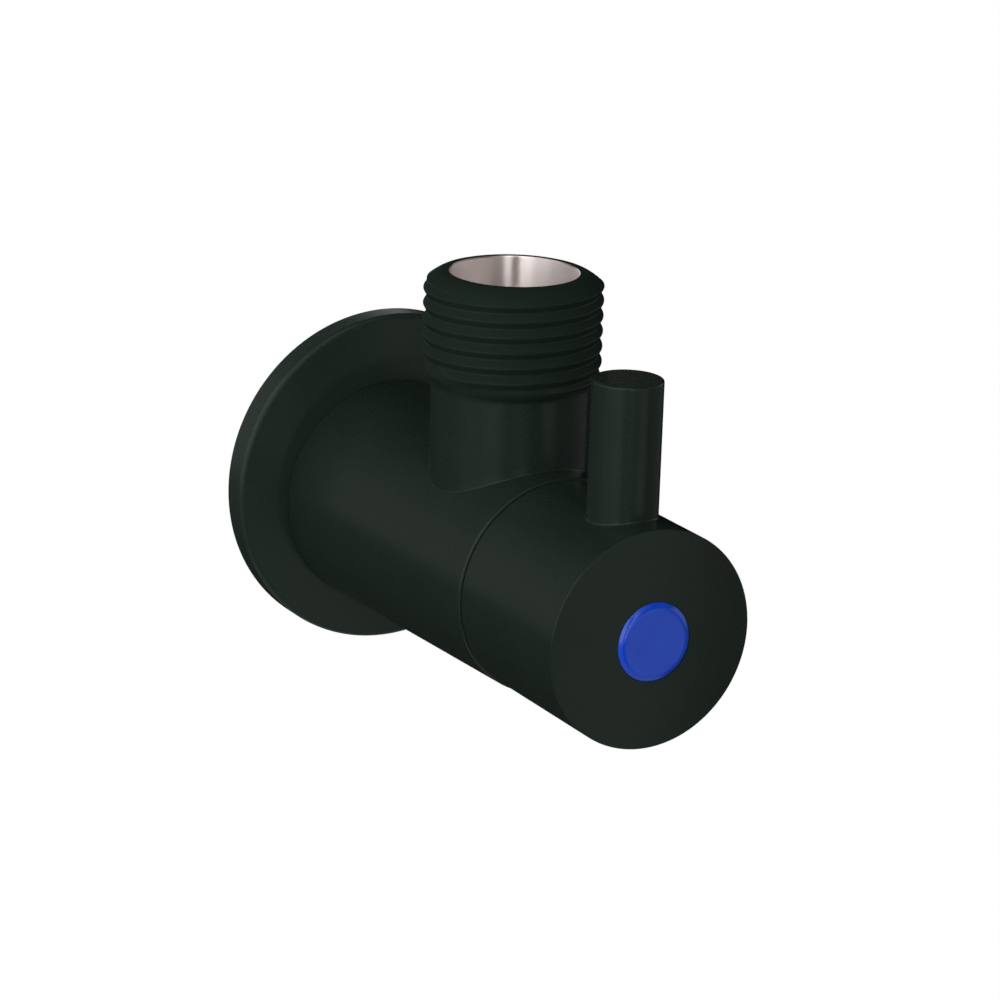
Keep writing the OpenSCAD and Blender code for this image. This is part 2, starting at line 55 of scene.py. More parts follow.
WELD_STEPS = 1e4  # steps per millimetre of the grid on which points are welded
LEAD, LEAD_SHARE = 0.12, 0.25  # flat lead beside a rounding: its length, its share of a side
ARC_STEP = 15.0  # largest angle of one piece of an arc, in degrees
NOISE_SPAN = (0.3, 0.7)  # where most values of a noise lie
Array, Tree, Socket = np.ndarray, bpy.types.NodeTree, bpy.types.NodeSocket
Span = tuple[float, float]
log = logging.getLogger("valve")


# ---- surfaces ----


class Line(Enum):
    """Which way an axis of turning runs."""

    VALVE = "out of the wall"
    UPRIGHT = "up from the valve axis"


@dataclass(frozen=True)
class Lathe:
    """An axis of turning. A surface is a radius over an angle and a distance along it. The
    axis lies at x and at the other coordinate: a height for the valve line, and a station
    for an upright one."""

    line: Line
    x: float = 0.0
    other: float = 0.0

    def point(self, angle: Array, along: Array, radius: Array) -> Array:
        """Places points of a turned surface.

        On the valve line a point is (x + r cos a, -along, other + r sin a), and on an
        upright line (x + r cos a, r sin a - other, along).

        Args:
            angle: Angles round the axis, in radians.
            along: Distances along the axis.
            radius: Distances from the axis.

        Returns:
            The points, with their three coordinates last.
        """
        angle, along, radius = np.broadcast_arrays(angle, along, radius)
        across, rise = self.x + radius * np.cos(angle), radius * np.sin(angle)
        if self.line is Line.VALVE:
            return np.stack([across, -along, self.other + rise], -1)
        return np.stack([across, rise - self.other, along], -1)

    def turn(self, outline: Array, angles: Array) -> Array:
        """Turns an outline of (along, radius) rows into a grid of rows and columns."""
        return self.point(angles[None, :], outline[:, 0, None], outline[:, 1, None])


VALVE_LINE = Lathe(Line.VALVE)


def turns(columns: int) -> Array:
    """Angles of a full turn in equal columns from -90 degrees, the last one on the first."""
    return np.radians(-90.0 + 360.0 * np.arange(columns + 1) / columns)


def rounded(corners: Sequence[tuple[float, ...]]) -> Array:
    """Rounds the corners of an outline.

    A corner (along, radius, rounding) becomes an arc tangent to both its sides, with one
    more point a little way along each side, so that the sides shade flat. A corner
    (along, radius) stays sharp.

    Args:
        corners: The outline's corners in order, the two ends among them.

    Returns:
        Rows of (along, radius).
    """
    rows = np.array([(*corner, 0.0)[:3] for corner in corners])
    made = [rows[:1, :2]]
    for before, here, after in zip(rows[:-2], rows[1:-1], rows[2:]):
        corner, reach = here[:2], here[2]
        if reach <= 0:
            made.append(corner[None])
            continue
        back, ahead = before[:2] - corner, after[:2] - corner
        back_len, ahead_len = np.hypot(*back), np.hypot(*ahead)
        back, ahead = back / back_len, ahead / ahead_len
        half = 0.5 * math.acos(float(np.clip(back @ ahead, -1, 1)))
        tangent = reach / math.tan(half)
        middle = back + ahead
        centre = corner + middle / np.hypot(*middle) * reach / math.sin(half)
        first, last = corner + back * tangent - centre, corner + ahead * tangent - centre
        start = math.atan2(first[1], first[0])
        sweep = (math.atan2(last[1], last[0]) - start + math.pi) % FULL_TURN - math.pi
        pieces = max(2, math.ceil(abs(math.degrees(sweep)) / ARC_STEP))
        angle = start + sweep * np.linspace(0, 1, pieces + 1)
        arc = centre + reach * np.stack([np.cos(angle), np.sin(angle)], -1)
        lead = back * min(LEAD, LEAD_SHARE * (back_len - tangent))
        tail = ahead * min(LEAD, LEAD_SHARE * (ahead_len - tangent))
        made += [arc[:1] + lead, arc, arc[-1:] + tail]
    made.append(rows[-1:, :2])
    return np.concatenate(made)


@dataclass
class Skin:
    """Grids of points that are welded into the closed mesh of one piece."""

    points: list[Array] = field(default_factory=list)
    quads: list[Array] = field(default_factory=list)
    marks: list[Array] = field(default_factory=list)
    count: int = 0

    def sheet(self, grid: Array, mark: int = 0, keep: Array | None = None) -> None:
        """Adds one grid of quads.

        Args:
            grid: Points in millimetres, as rows, columns and coordinates.
            mark: Which of the piece's finishes it gets.
            keep: True for the quads that stay, one value per quad of the grid.
        """
        rows, columns = grid.shape[:2]
        first = self.count + (np.arange(rows - 1)[:, None] * columns + np.arange(columns - 1))
        quads = np.stack([first, first + 1, first + columns + 1, first + columns], -1)
        quads = quads.reshape(-1, 4) if keep is None else quads[keep]
        self.points.append(grid.reshape(-1, 3))
        self.quads.append(quads)
        self.marks.append(np.full(len(quads), mark))
        self.count += rows * columns

    def mesh(self, name: str) -> bpy.types.Mesh:
        """Welds the grids where their points meet, drops what closes up to a line, and turns
        every face outwards.

        Args:
            name: Name of the mesh.

        Returns:
            The mesh, in metres.
        """
        points, quads = np.concatenate(self.points), np.concatenate(self.quads)
        marks = np.concatenate(self.marks)
        steps = np.round(points * WELD_STEPS).astype(np.int64)
        _, first, place = np.unique(steps, axis=0, return_index=True, return_inverse=True)
        quads = place.reshape(-1)[quads]
        same = quads == np.roll(quads, -1, axis=1)
        four, three = ~same.any(1), same.sum(1) == 1
        faces = quads[four].tolist() + quads[three][~same[three]].reshape(-1, 3).tolist()
        marks = np.concatenate([marks[four], marks[three]]).astype(np.int32)
        mesh = bpy.data.meshes.new(name)
        mesh.from_pydata(points[first] * MM, [], faces)
        mesh.polygons.foreach_set("material_index", marks)
        work = bmesh.new()
        work.from_mesh(mesh)
        bmesh.ops.delete(work, geom=[v for v in work.verts if not v.link_faces], context="VERTS")
        bmesh.ops.recalc_face_normals(work, faces=work.faces)
        work.to_mesh(mesh)
        work.free()
        return mesh


@dataclass(frozen=True)
class Band:
    """Rows of a turned surface by their stations, and how many columns on each side of the
    top they leave out for an opening."""

    first: float
    last: float
    rows: int
    half: int

    @property
    def stations(self) -> Array:
        """Stations of the rows."""
        return np.linspace(self.first, self.last, self.rows)


@dataclass(frozen=True)
class Opening:
    """A round opening that an upright branch cuts in a surface turned about the valve line.

    The surface's grid leaves out a rectangle of quads round the opening. The opening's rim
    and the rectangle's rim are pairs of (angle, station), and a collar of quads runs from
    one to the other on the surface, crowded towards the opening by a power.
    """

    radius_at: Callable[[Array], Array]
    station: float
    crowding: float = 1.3

    def headings(self, frame_rim: Array) -> Array:
        """Plan angles round the branch of a rectangle's rim, rising from zero."""
        across = self.radius_at(frame_rim[:, 1]) * np.cos(frame_rim[:, 0])
        return np.unwrap(np.arctan2(self.station - frame_rim[:, 1], across))

    def rim(self, heading: Array, reach: float) -> Array:
        """Where an upright cylinder meets it, at plan angle h: cos a = reach cos h / R(s)."""
        station = self.station - reach * np.sin(heading)
        return np.stack([np.arccos(reach * np.cos(heading) / self.radius_at(station)), station], -1)

    def place(self, pairs: Array) -> Array:
        """Points of the surface at pairs of (angle, station)."""
        return VALVE_LINE.point(pairs[..., 0], pairs[..., 1], self.radius_at(pairs[..., 1]))

    def collar(self, inner: Array, outer: Array, rows: int) -> Array:
        """Grid from one rim to another, closer together at the inner one."""
        share = (np.linspace(0, 1, rows + 1) ** self.crowding)[:, None, None]
        return self.place(inner * (1 - share) + outer * share)

    def band(self, skin: Skin, angles: Array, band: Band, mark: int = 0) -> Array:
        """Adds the surface's rows round the opening, without the rectangle.

        Args:
            skin: Where they go.
            angles: Angles of the columns, with the top in the middle.
            band: The rows, with the opening's own station in the middle.
            mark: Which finish they get.

        Returns:
            The rectangle's rim, once round from the middle of its right side: rows of
            (angle, station), the last the same as the first.
        """
        stations, top, middle = band.stations, len(angles) // 2, band.rows // 2
        keep = np.ones((band.rows - 1, len(angles) - 1), bool)
        keep[:, top - band.half : top + band.half] = False
        rows = np.stack([stations, self.radius_at(stations)], -1)
        skin.sheet(VALVE_LINE.turn(rows, angles), mark, keep)
        cut, up = angles[top - band.half : top + band.half + 1], np.sort(stations)
        down = up[::-1]
        sides = [
            (cut[0], down[middle:]), (cut[1:], up[0]), (cut[-1], up[1:]),
            (cut[-2::-1], up[-1]), (cut[0], down[1 : middle + 1]),
        ]
        return np.concatenate([np.stack(np.broadcast_arrays(*side), -1) for side in sides])


def bent_strip(start: Array, corner: Array, end: Array, rows: int) -> Array:
    """Rounding between two edges: columns (1-t)^2 start + 2t(1-t) corner + t^2 end."""
    t = np.linspace(0, 1, rows + 1)[:, None, None]
    return (1 - t) ** 2 * start + 2 * t * (1 - t) * corner + t**2 * end


@dataclass(frozen=True)
class PipeThread:
    """Right-handed parallel pipe thread with rounded crests and roots, 14 turns to the inch."""

    major: float = 10.4775
    pitch: float = 1.814
    depth: float = 1.162
    crest_at: float = 0.0

    def phase(self, angle: Array, along: Array) -> Array:
        """Pitches from the crest: (along - crest) / pitch - angle / (2 pi)."""
        return (along - self.crest_at) / self.pitch - angle / FULL_TURN

    def ridge(self, angle: Array, along: Array) -> Array:
        """Height of the ridge over the root: depth (1 + cos(2 pi phase)) / 2."""
        return self.depth * (0.5 + 0.5 * np.cos(FULL_TURN * self.phase(angle, along)))

    def crest(self, angle: Array, along: Array) -> Array:
        """Distance along the axis of the crest nearest to each point."""
        number = np.round(self.phase(angle, along))
        return self.crest_at + self.pitch * (number + angle / FULL_TURN)

    @property
    def minor(self) -> float:
        """Radius of the thread's root."""
        return self.major - self.depth


def eased(value: Array, low: float, high: float) -> Array:
    """Rises smoothly from 0 at low to 1 at high: 3s^2 - 2s^3 of the share s between them."""
    share = np.clip((value - low) / (high - low), 0, 1)
    return share * share * (3 - 2 * share)


# ---- finishes ----


def linear(code: str) -> tuple[float, float, float, float]:
    """Turns an sRGB colour into a linear one.

    Args:
        code: Hex value such as 1F2624.

    Returns:
        Red, green, blue and an alpha of 1.
    """
    parts = np.array([int(code[i : i + 2], 16) for i in (0, 2, 4)]) / 255
    plain = np.where(parts <= 0.04045, parts / 12.92, ((parts + 0.055) / 1.055) ** 2.4)
    return (*plain.tolist(), 1.0)


def add(
    tree: Tree, kind: str, settings: Mapping | None = None, links: Mapping | None = None
) -> bpy.types.Node:
    """Adds one node with its settings and links.

    Args:
        tree: Node tree of the material or the world.
        kind: The node's type without its ShaderNode prefix.
        settings: Values by name. Names in lower case are the node's own settings, and
            all others, and numbers, are its sockets.
        links: Output sockets by the name or number of the socket that they run into.

    Returns:
        The node.
    """
    made = tree.nodes.new("ShaderNode" + kind)
    for name, value in (settings or {}).items():
        if isinstance(name, str) and name[0].islower():
            setattr(made, name, value)
        else:
            made.inputs[name].default_value = value
    for name, socket in (links or {}).items():
        tree.links.new(socket, made.inputs[name])
    return made


def combine(tree: Tree, operation: str, *values: Socket) -> Socket:
    """The result of one operation of arithmetic."""
    return add(tree, "Math", {"operation": operation}, dict(enumerate(values))).outputs[0]


def cleared(owner: bpy.types.Material | bpy.types.World) -> Tree:
    """Empties a node tree.

    Args:
        owner: The material or the world that it belongs to.

    Returns:
        The tree.
    """
    owner.use_nodes = True
    owner.node_tree.nodes.clear()
    return owner.node_tree


@dataclass(frozen=True)
class Pattern:
    """Draws patterns in the node tree of a material, over the places in the object."""

    tree: Tree
    place: Socket

    def noise(self, grain: float, detail: float = 2.0) -> Socket:
        """A noise with grains of a given size in millimetres."""
        settings = {"Scale": 1 / (grain * MM), "Detail": detail}
        return add(self.tree, "TexNoise", settings, {"Vector": self.place}).outputs[0]

    def part(self, vector: Socket, axis: str) -> Socket:
        """One coordinate of a vector."""
        return add(self.tree, "SeparateXYZ", links={0: vector}).outputs[axis]

    def ranged(self, value: Socket, span: Span, low: float = 0.0, high: float = 1.0) -> Socket:
        """Maps a span of a value to the range from low to high."""
        settings = {"From Min": span[0], "From Max": span[1], "To Min": low, "To Max": high}
        return add(self.tree, "MapRange", settings, {"Value": value}).outputs[0]

    def shades(self, value: Socket, dark: str, light: str) -> Socket:
        """Mixes two colours by a noise.

        Args:
            value: The noise.
            dark: Colour where it is low, as an sRGB hex value.
            light: Colour where it is high.

        Returns:
            The mixed colour.
        """
        ramp = add(self.tree, "ValToRGB", links={0: value})
        for stop, position, colour in zip(ramp.color_ramp.elements, NOISE_SPAN, (dark, light)):
            stop.position, stop.color = position, linear(colour)
        return ramp.outputs[0]

    def relief(self, height: Socket, depth: float, under: Socket | None = None) -> Socket:
        """Bump of a given depth in millimetres, over another bump if there is one."""
        links = {"Height": height} | ({"Normal": under} if under else {})
        return add(self.tree, "Bump", {"Distance": depth * MM, "Strength": 1.0}, links).outputs[0]


@dataclass(frozen=True)
class Finish:
    """What every finish has: its name, its colour, and how it shines. A pattern makes its
    roughness uneven, down and up by so much."""

    name: str
    colour: str
    roughness: float
    uneven: Span = (0.04, 0.04)
    metallic: float = 0.0
    specular: float = 0.5
    ior: float = 1.5
    stretch: float = 0.0

    def texture(self, pattern: Pattern) -> dict[str, Socket]:
        """What drives the shader's inputs, by their names. A plain finish has nothing."""
        return {}

    def dulled(self, pattern: Pattern, noise: Socket) -> Socket:
        """The roughness, made uneven by a noise."""
        down, up = self.uneven
        return pattern.ranged(noise, NOISE_SPAN, self.roughness - down, self.roughness + up)

    def constants(self) -> dict:
        """Values that sit on the shader's own sockets."""
        return {
            "Base Color": linear(self.colour),
            "Roughness": self.roughness,
            "Metallic": self.metallic,
            "IOR": self.ior,
            "Specular IOR Level": self.specular,
            "Anisotropic": self.stretch,
        }

    def material(self) -> bpy.types.Material:
        """Makes the material, or gives the one made before.

        Returns:
            A material with one principled shader, whose constants sit on its own sockets.
        """
        found = bpy.data.materials.get(self.name)
        if found:
            return found
        made = bpy.data.materials.new(self.name)
        tree = cleared(made)
        pattern = Pattern(tree, add(tree, "TexCoord").outputs["Object"])
        shader = add(tree, "BsdfPrincipled", self.constants(), self.texture(pattern))
        add(tree, "OutputMaterial", links={"Surface": shader.outputs[0]})
        return made


@dataclass(frozen=True)
class Grained(Finish):
    """Moulded plastic, rubber, pressed fibre or lapped ceramic, with a fine even grain."""

    uneven: Span = (0.03, 0.04)
    grain: float = 0.3
    grain_depth: float = 0.002
    skin: float = 0.0
    skin_depth: float = 0.0
    cloud: float = 3.0
    dark: str = ""
    light: str = ""

    def texture(self, pattern: Pattern) -> dict[str, Socket]:
        """Grain, over a soft skin if there is one, and cloudy colour from two shades.

        Args:
            pattern: Draws the patterns.

        Returns:
            What drives the shader's inputs, by their names.
        """
        grain, under = pattern.noise(self.grain), None
        if self.skin:
            under = pattern.relief(pattern.noise(self.skin, detail=1.0), self.skin_depth)
        sockets = {
            "Roughness": self.dulled(pattern, grain),
            "Normal": pattern.relief(grain, self.grain_depth, under),
        }
        if self.dark:
            clouds = pattern.noise(self.cloud, detail=3.0)
            sockets["Base Color"] = pattern.shades(clouds, self.dark, self.light)
        return sockets


@dataclass(frozen=True)
class MatteCoat(Grained):
    """Black stoved lacquer on brass: a dark, slightly green film. Its soft skin, at about a
    millimetre, spreads the light into broad dull highlights. Its colour is cloudy over
    centimetres. Its grain, at 0.2 mm, is coarser than real, so that it shows."""

    uneven: Span = (0.04, 0.04)
    grain: float = 0.22
    grain_depth: float = 0.0005
    skin: float = 0.9
    skin_depth: float = 0.0022
    cloud: float = 9.0
    dark: str = "1B251F"
    light: str = "1D2721"


@dataclass(frozen=True)
class ThreadedCoat(MatteCoat):
    """The same lacquer on the body, where it lies thin and dull on the flanks of the
    outlet's thread and keeps its gloss on the crests."""

    thread_from: float = 21.0
    thread_full: float = 22.4
    flank_lean: float = 0.22
    flank_roughness: float = 0.75
    flank_specular: float = 0.02

    def texture(self, pattern: Pattern) -> dict[str, Socket]:
        """The lacquer's own patterns. Over the thread's height, the more a face leans from
        upright, the duller it is.

        Args:
            pattern: Draws the patterns.

        Returns:
            What drives the shader's inputs, by their names.
        """
        sockets, tree = super().texture(pattern), pattern.tree
        height = pattern.part(pattern.place, "Z")
        threaded = pattern.ranged(height, (self.thread_from * MM, self.thread_full * MM))
        normal = add(tree, "NewGeometry").outputs["Normal"]
        lean = combine(tree, "ABSOLUTE", pattern.part(normal, "Z"))
        sloped = pattern.ranged(lean, (0.0, self.flank_lean))
        flank = combine(tree, "MULTIPLY", threaded, sloped)
        links = {"Factor": flank, "A": sockets["Roughness"]}
        rough = add(tree, "Mix", {"B": self.flank_roughness}, links).outputs["Result"]
        gloss = pattern.ranged(flank, (0.0, 1.0), self.specular, self.flank_specular)
        return sockets | {"Roughness": rough, "Specular IOR Level": gloss}


@dataclass(frozen=True)
class TurnedMetal(Finish):
    """Bare metal from the lathe: fine rings round the axis of turning, which draw the
    light out along the axis."""

    uneven: Span = (0.05, 0.05)
    metallic: float = 1.0
    axis: str = "Y"
    feed: float = 0.16
    groove: float = 0.0016
    stretch: float = 0.7
    patch: float = 2.5

    def texture(self, pattern: Pattern) -> dict[str, Socket]:
        """Rings whose height is a noise of the distance along the axis, one feed of the
        tool wide, patches of duller metal, and highlights stretched along the axis.

        Args:
            pattern: Draws the patterns.

        Returns:
            What drives the shader's inputs, by their names.
        """
        along = pattern.part(pattern.place, self.axis)
        settings = {"noise_dimensions": "1D", "Scale": 1 / (self.feed * MM), "Detail": 2.0}
        rings = add(pattern.tree, "TexNoise", settings, {"W": along}).outputs[0]
        patches = pattern.noise(self.patch, detail=3.0)
        return {
            "Roughness": self.dulled(pattern, patches),
            "Normal": pattern.relief(rings, self.groove),
            "Tangent": add(pattern.tree, "CombineXYZ", {self.axis: 1.0}).outputs[0],
        }


BLACK_COAT = MatteCoat("stoved_black_lacquer", "1C2620", 0.28, specular=0.15)
BODY_COAT = ThreadedCoat("stoved_black_lacquer_on_thread", "1C2620", 0.28, specular=0.15)
# The same black lacquer as the body's, with its colour and shades painted a little lighter so that
# the rosette's face renders as bright as the rest: painted light, not a different paint.
SHEET_COAT_PAINTED_LIGHTER = MatteCoat(
    "stoved_black_lacquer_painted_lighter_on_sheet", "212C25", 0.28, specular=0.15, dark="202B24", light="222D26"
)
BARE_BORE = TurnedMetal(
    "bare_turned_bore", "FFF6F3", 0.33, (0.015, 0.015),
    axis="Z", feed=0.2, groove=0.006, stretch=0.98,
)
TURNED_BRASS = TurnedMetal("turned_brass", "CBA75A", 0.28)
BRIGHT_STEEL = TurnedMetal("stainless_steel", "B4B6B8", 0.3, feed=0.2)
ALUMINA = Grained("lapped_alumina", "F0EDE3", 0.18, grain=0.25, grain_depth=0.0005)
NITRILE = Grained("moulded_nitrile_rubber", "171717", 0.55, specular=0.4, grain=0.4)
ACETAL = Grained("moulded_acetal", "E6E2D6", 0.38, dark="E2DED1", light="EAE7DC")
FIBRE = Grained(
    "pressed_vulcanised_fibre", "8C3B2B", 0.75, grain=0.35, grain_depth=0.01,
    dark="7D3325", light="9A4733",
)
BLUE_ABS = Grained(
    "moulded_blue_abs", "0640BC", 0.22, specular=0.45, grain=0.25, grain_depth=0.0003,
    dark="043DB8", light="0843C0",
)


def show(name: str, data: bpy.types.ID) -> bpy.types.Object:
    """Puts something into the scene.

    Args:
        name: Name of the object.
        data: Its mesh, lamp or camera.

    Returns:
        The object.
    """
    made = bpy.data.objects.new(name, data)
    bpy.context.scene.collection.objects.link(made)
    return made


def piece(
    skin: Skin, name: str, finishes: Sequence[Finish], body: str, node: str,
    crease: float = 32.0,
) -> None:
    """Makes one visible piece that stands for a node.

    Args:
        skin: Its welded grids.
        name: The piece's name.
        finishes: Its finishes, in the order of the grids' marks.
        body: The body it rides on.
        node: The node it replaces.
        crease: Edges bent by more than this many degrees stay crisp.
    """
    mesh = skin.mesh(name)
    for finish in finishes:
        mesh.materials.append(finish.material())
    mesh.shade_smooth()
    mesh.set_sharp_from_angle(angle=math.radians(crease))
    made = show(name, mesh)
    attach(made, body)
    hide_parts(node)
    log.info("%s: %d faces, rides on %s", name, len(mesh.polygons), body)


# ---- pieces ----

BARE = 1  # mark of the body's bare inside, where the lacquer's mark is 0


@dataclass
class BodyCasting:
    """Forged and turned brass body: spigot, tapered barrel and threaded outlet.

    The outlet's thread lies between neck_top and rim_z. Over root_span the neck eases into
    the thread's root, and over runout the ridge grows to its height. Up to low_turn the
    ridge is missing round the plan angle missing_at, where missing_span holds the cosines
    at which it goes.
    """

    columns: int = 192
    spigot_end: float = -12.0
    spigot_rows: int = 117
    thread_end: float = 0.5
    undercut_r: float = 9.2
    rear: float = 4.0
    rear_r: float = 14.0
    front: float = 46.0
    front_r: float = 13.0
    edge: float = 0.3
    recess_r: float = 10.85
    recess_depth: float = 0.8
    mouth_r: float = 10.05
    mouth_end: float = 39.6
    chamber_r: float = 9.6
    seat: float = 20.0
    seat_r: float = 5.5
    seat_land: float = 2.0
    seat_cone: float = 1.0
    inlet_r: float = 6.5
    strainer_r: float = 7.5
    strainer_depth: float = 2.0
    outlet_at: float = 33.6
    neck_r: float = 9.35
    neck_top: float = 20.6
    crease: float = 0.1
    crease_rise: float = 0.12
    root_span: Span = (21.2, 23.0)
    runout: Span = (20.9, 23.2)
    low_turn: Span = (24.2, 25.0)
    missing_at: float = 149.0
    missing_span: Span = (0.48, 0.84)
    rim_z: float = 34.6
    rim_r: float = 8.35
    rim_chamfer: float = 1.3
    rim_power: float = 0.72
    bore_r: float = 7.5
    bore_edge: float = 0.12
    bore_floor: float = 21.6
    port_r: float = 5.0
    outlet_rows: int = 156
    outlet_thread: PipeThread = PipeThread(depth=0.38, crest_at=0.87)
    spigot_thread: PipeThread = PipeThread(crest_at=-0.4)
    barrel_band: Band = Band(22.6, 44.6, 37, 30)
    chamber_band: Band = Band(39.3, 27.9, 33, 32)

    def barrel_r(self, station: Array) -> Array:
        """Radius of the tapered barrel: a straight line from the rear to the front."""
        share = (station - self.rear - self.edge) / (self.front - self.rear - 2 * self.edge)
        return self.rear_r + (self.front_r - self.rear_r) * share

    def spigot(self, angles: Array) -> Array:
        """Threaded spigot: at each point the smaller of the turned blank and the thread.

        Args:
            angles: Angles of the columns.

        Returns:
            The grid.
        """
        end, thread, chamfer = self.spigot_end, self.spigot_thread, 3 * self.edge
        along = np.linspace(end, self.thread_end + 2 * self.edge, self.spigot_rows)[:, None]
        stops = [end, end + chamfer, self.thread_end, along[-1, 0]]
        radii = [thread.major - chamfer, thread.major, thread.major, self.undercut_r]
        radius = np.minimum(
            np.interp(along, stops, radii), thread.minor + thread.ridge(angles[None, :], along)
        )
        return VALVE_LINE.point(angles[None, :], along, radius)

    def outlet_r(self, heading: Array, height: Array) -> Array:
        """Radius of the outlet from the neck up.

        It is the neck's radius, eased into the thread's root, plus the ridge, which fades
        out downwards over a turn and is missing low on the left. The rim's convex chamfer
        cuts the thread off, and its radius grows with a power of the depth below the rim.

        Args:
            heading: Plan angles round the outlet.
            height: Heights over the valve axis.

        Returns:
            The radii.
        """
        thread = self.outlet_thread
        root = self.neck_r + (thread.minor - self.neck_r) * eased(height, *self.root_span)
        crest = thread.crest(heading, height)
        low = 1 - eased(crest, *self.low_turn)
        side = 1 - eased(np.cos(heading - math.radians(self.missing_at)), *self.missing_span)
        full = eased(crest, *self.runout) * (1 - low * (1 - side))
        below = np.clip((self.rim_z - height) / self.rim_chamfer, 0, 1)
        blank = self.rim_r + (thread.major - self.rim_r) * below**self.rim_power
        return np.minimum(root + thread.ridge(heading, height) * full, blank)

    def turned(self, skin: Skin, angles: Array) -> None:
        """Adds what is turned about the valve line: the spigot and the barrel's two ends,
        the cartridge's seat in the front, the rear of the chamber and the inlet.

        Args:
            skin: Where it goes.
            angles: Angles of the columns.
        """
        barrel, chamber, cone = self.barrel_band, self.chamber_band, self.barrel_r
        recess, strainer = self.front - self.recess_depth, self.spigot_end + self.strainer_depth
        spigot = self.spigot(angles)
        rear = rounded([
            (self.thread_end + 2 * self.edge, self.undercut_r), (self.rear, self.undercut_r),
            (self.rear, cone(self.rear), self.edge), (barrel.first, cone(barrel.first)),
        ])
        front = rounded([
            (barrel.last, cone(barrel.last)), (self.front, cone(self.front), self.edge),
            (self.front, self.recess_r), (recess, self.recess_r),
        ])
        seat = rounded([
            (recess, self.recess_r), (recess, self.mouth_r), (self.mouth_end, self.mouth_r),
            (self.mouth_end, self.chamber_r), (chamber.first, self.chamber_r),
        ])
        inlet = rounded([
            (chamber.last, self.chamber_r), (self.seat, self.chamber_r),
            (self.seat, self.seat_r), (self.seat - self.seat_land, self.seat_r),
            (self.seat - self.seat_land - self.seat_cone, self.inlet_r),
            (strainer, self.inlet_r), (strainer, self.strainer_r),
            (self.spigot_end, self.strainer_r),
        ])
        skin.sheet(spigot)
        skin.sheet(VALVE_LINE.turn(rear, angles))
        skin.sheet(VALVE_LINE.turn(front, angles))
        skin.sheet(VALVE_LINE.turn(seat, angles), BARE)
        skin.sheet(VALVE_LINE.turn(inlet, angles), BARE)
        skin.sheet(np.concatenate([VALVE_LINE.turn(inlet[-1:], angles), spigot[:1]]))

    def outlet(self, skin: Skin, angles: Array) -> None:
        """Adds the barrel and the chamber round the outlet, and the outlet: its neck, which
        grows out of the barrel through a small rounding, its thread, lip, bore and port.

        Args:
            skin: Where it goes.
            angles: Angles of the columns.
        """
        barrel = Opening(self.barrel_r, self.outlet_at)
        chamber = Opening(lambda s: np.full_like(s, self.chamber_r), self.outlet_at)
        outer_rim = barrel.band(skin, angles, self.barrel_band)
        inner_rim = chamber.band(skin, angles, self.chamber_band, BARE)
        heading = barrel.headings(outer_rim)
        foot = barrel.rim(heading, self.neck_r + self.crease)
        skin.sheet(barrel.collar(foot, outer_rim, rows=8))
        sharp = barrel.place(barrel.rim(heading, self.neck_r))
        above = sharp + [0, 0, self.crease_rise]
        skin.sheet(bent_strip(barrel.place(foot), sharp, above, rows=6))

        upright = Lathe(Line.UPRIGHT, other=self.outlet_at)
        share = np.linspace(0, 1, 9)[:, None]
        neck = (1 - share) * above[:, 2] + share * self.neck_top
        threaded = np.linspace(self.neck_top, self.rim_z, self.outlet_rows)[:, None]
        for height in (neck, threaded):
            radius = self.outlet_r(heading[None, :], height)
            skin.sheet(upright.point(heading[None, :], height, radius))
        lip = np.array([[self.rim_z, self.rim_r], [self.rim_z, self.bore_r + self.bore_edge]])
        bore = rounded([
            (self.rim_z, self.bore_r + self.bore_edge), (self.rim_z - self.bore_edge, self.bore_r),
            (self.bore_floor, self.bore_r), (self.bore_floor, self.port_r),
        ])
        skin.sheet(upright.turn(lip, heading))
        skin.sheet(upright.turn(bore, heading), BARE)
        port = chamber.rim(heading, self.port_r)
        port_top = upright.turn(bore[-1:], heading)[0]
        skin.sheet(np.stack([port_top, chamber.place(port)]), BARE)
        skin.sheet(chamber.collar(port, inner_rim, rows=4), BARE)

    def build(self) -> None:
        """Makes the body, coated outside and bare inside."""
        skin, angles, finishes = Skin(), turns(self.columns), [BODY_COAT, BARE_BORE]
        self.turned(skin, angles)
        self.outlet(skin, angles)
        piece(skin, "body_casting", finishes, "body", "valve_body")


@dataclass
class Rosette:
    """Pressed sheet cup over the hole in the wall, loose on the spigot and off its centre."""

    columns: int = 256
    centre: Span = (0.7042, 1.3244)
    hole_r: float = 12.2775
    land_r: float = 15.8
    rim_r: float = 20.8
    height: float = 4.0
    rim_height: float = 3.3
    sheet: float = 1.0
    rim_round: float = 0.7
    land_round: float = 3.0

    def build(self) -> None:
        """Turns the cup's outline: flat land, gentle fall, rounded rim, and the same again
        one sheet further in."""
        inner_r, under = self.rim_r - self.sheet, self.height - self.sheet
        outline = rounded([
            (under, self.hole_r), (self.height, self.hole_r),
            (self.height, self.land_r, self.land_round),
            (self.rim_height - 0.02, self.rim_r, self.rim_round), (0, self.rim_r),
            (0, inner_r), (self.rim_height - self.sheet, inner_r, self.rim_round / 2),
            (under, self.land_r, self.land_round - self.sheet), (under, self.hole_r),
        ])
        skin = Skin()
        skin.sheet(Lathe(Line.VALVE, *self.centre).turn(outline, turns(self.columns)))
        # The cup gets the lacquer whose colour is painted lighter, as painted light.
        piece(skin, "rosette_cup", [SHEET_COAT_PAINTED_LIGHTER], "rosette", "wall_rosette")


